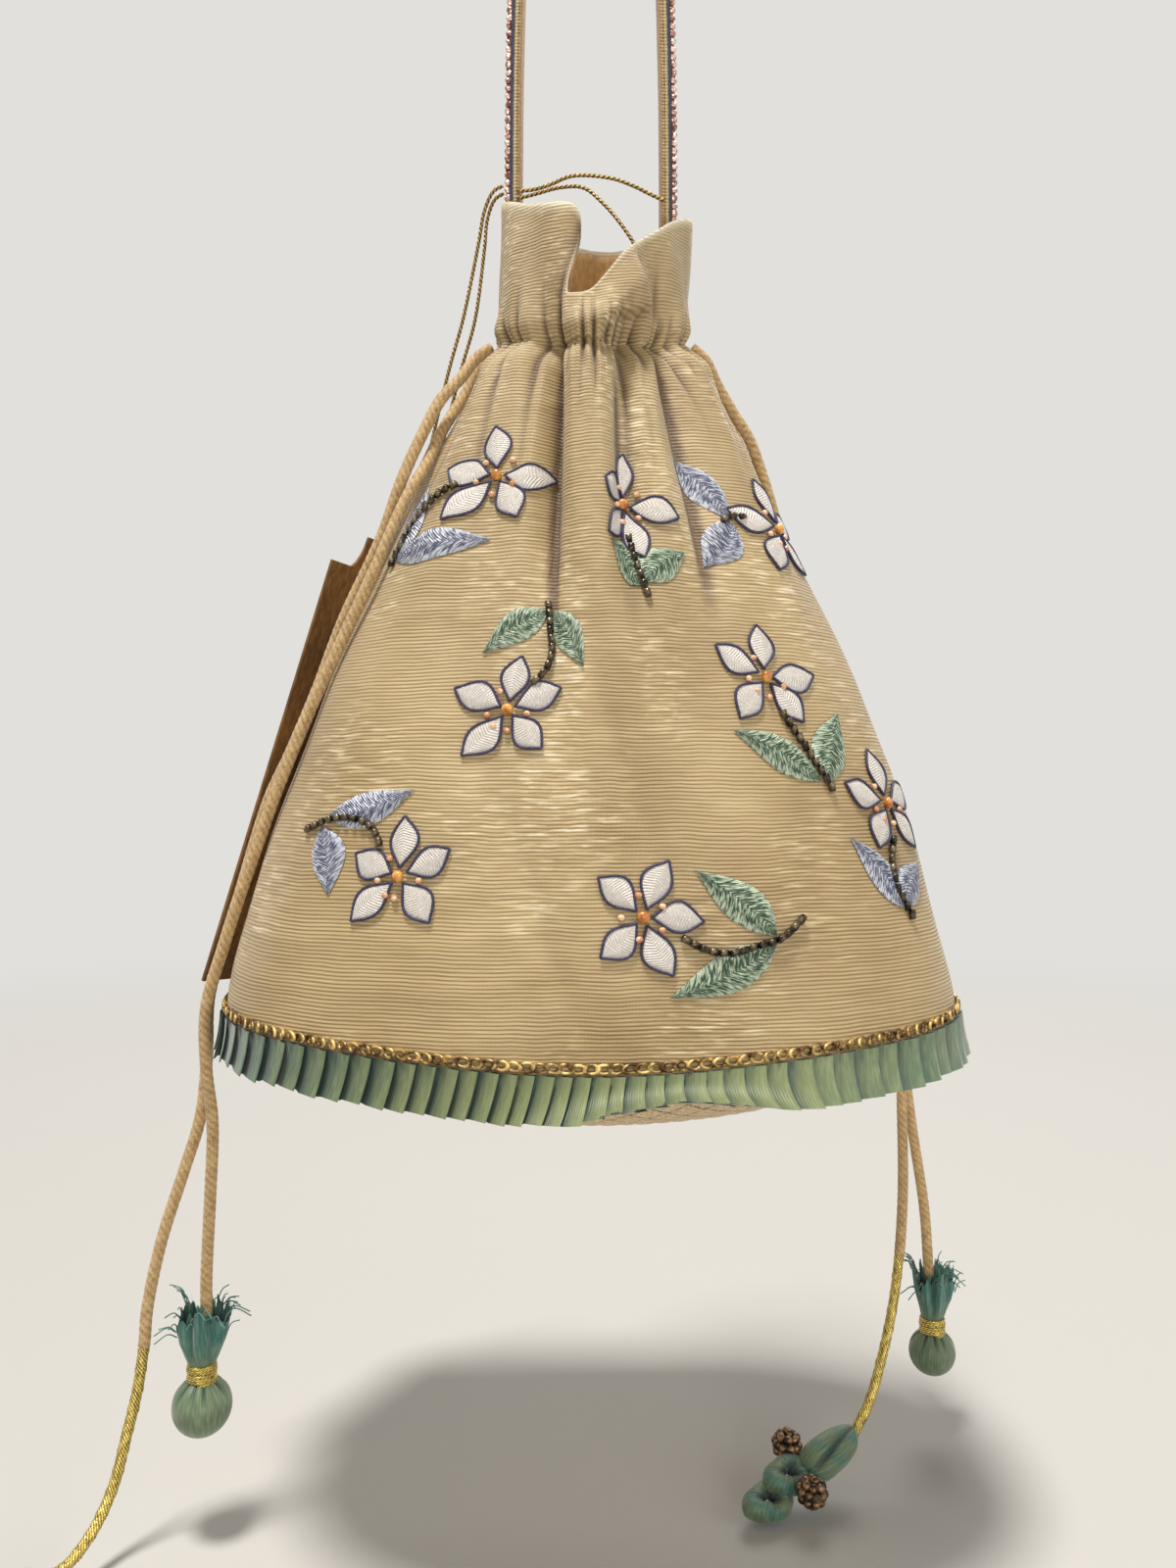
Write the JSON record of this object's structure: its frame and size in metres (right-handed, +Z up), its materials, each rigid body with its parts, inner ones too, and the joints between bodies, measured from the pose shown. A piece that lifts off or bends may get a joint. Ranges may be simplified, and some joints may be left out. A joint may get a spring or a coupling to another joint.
{
  "type": "potli bag",
  "caption": "Gathered silk drawstring pouch with a strap handle, floppy collar, embroidered flower sprigs, pleated rim ruffle, tasselled drawstrings and a hang tag.",
  "frame": {"origin": "top of the handle arch, where the pouch hangs from a hand or a hook", "axes": "+Z up, the front of the pouch faces -Y, +X to the right of someone who looks at the front"},
  "size_m": [0.2729, 0.1356, 0.47],
  "materials": {
    "silk_shell": "ribbed dupion silk, soft sheen",
    "lining_cloth": "plain golden brown lining",
    "base_cloth": "cream quilted cloth",
    "ruffle_cloth": "teal green pleated silk",
    "gold_stitching": "antique gold metallic thread",
    "strap_webbing": "woven tan strap",
    "sequin_ribbon": "pink bronze sequins",
    "drawstring": "twisted tan cord",
    "gold_thread": "wound gold thread",
    "tassel_cloth": "sage green silk",
    "bronze_beads": "dark bronze beads",
    "brown_card": "matt brown card",
    "tag_string": "twisted gold string",
    "white_satin_stitch": "satin stitch, silk thread",
    "blue_grey_thread": "metallic thread",
    "green_thread": "metallic thread"
  },
  "bodies": {
    "root": {"outer_shell": "silk_shell", "lining": "lining_cloth", "base_panel": "base_cloth", "pleated_ruffle": "ruffle_cloth", "gold_trim": "gold_stitching", "handle_strap": "strap_webbing", "handle_ribbon": "sequin_ribbon", "left_drawstring_loop": "drawstring", "right_drawstring_loop": "drawstring", "left_knot_cord": "drawstring", "left_ball_cord": "drawstring", "right_knot_cord": "drawstring", "right_ball_cord": "drawstring", "left_knot_wrap": "gold_thread", "right_knot_wrap": "gold_thread", "left_ball_tassel": "tassel_cloth", "left_ball_binding": "gold_thread", "right_ball_tassel": "tassel_cloth", "right_ball_binding": "gold_thread", "left_knot_tassel": "tassel_cloth", "right_knot_tassel": "tassel_cloth", "left_knot_beads_near": "bronze_beads", "left_knot_beads_far": "bronze_beads", "right_knot_beads_near": "bronze_beads", "right_knot_beads_far": "bronze_beads", "hang_tag": "brown_card", "tag_strand_outer": "tag_string", "tag_strand_inner": "tag_string", "strap_tie_upper": "tag_string", "strap_tie_lower": "tag_string", "flower_1": "white_satin_stitch", "spray_1": "blue_grey_thread", "flower_2": "white_satin_stitch", "spray_2": "green_thread", "flower_3": "white_satin_stitch", "spray_3": "blue_grey_thread", "flower_4": "white_satin_stitch", "spray_4": "green_thread", "flower_5": "white_satin_stitch", "spray_5": "green_thread", "flower_6": "white_satin_stitch", "spray_6": "blue_grey_thread", "flower_7": "white_satin_stitch", "spray_7": "green_thread", "flower_8": "white_satin_stitch", "spray_8": "blue_grey_thread", "flower_9": "white_satin_stitch", "spray_9": "green_thread", "flower_10": "white_satin_stitch", "spray_10": "blue_grey_thread", "flower_11": "white_satin_stitch", "spray_11": "blue_grey_thread", "flower_12": "white_satin_stitch", "spray_12": "green_thread"}
  },
  "joints": []
}
